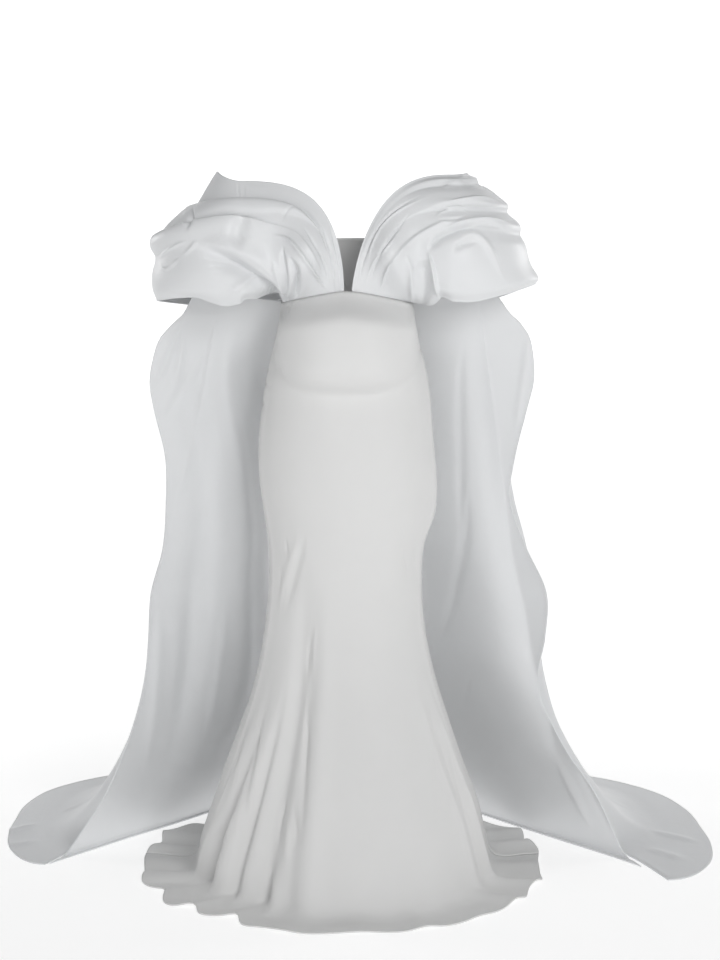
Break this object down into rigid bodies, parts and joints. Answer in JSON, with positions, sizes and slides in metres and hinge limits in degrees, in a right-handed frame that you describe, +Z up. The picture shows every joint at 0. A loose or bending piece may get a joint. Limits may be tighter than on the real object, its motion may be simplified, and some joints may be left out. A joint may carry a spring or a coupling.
{
  "type": "maternity gown",
  "caption": "Floor-length fitted maternity gown with belly room, deep V neck, draped off-shoulder puff sleeves and long cape wings that end in trains.",
  "frame": {"origin": "on the wearer's vertical axis at bust height, 1.300 m above the floor that the hem and trains lie on", "axes": "+Z up along the wearer, +X to the viewer's right as seen from the front, the front faces -Y"},
  "size_m": [1.6073, 1.3513, 1.5113],
  "materials": {
    "crepe": "matte stretch crepe",
    "organza": "satin organza"
  },
  "bodies": {
    "root": {"skirt_front": "crepe", "skirt_back": "crepe", "bodice_back": "crepe", "drape_left": "organza", "drape_right": "organza", "cape_left": "organza", "cape_right": "organza"}
  },
  "joints": []
}
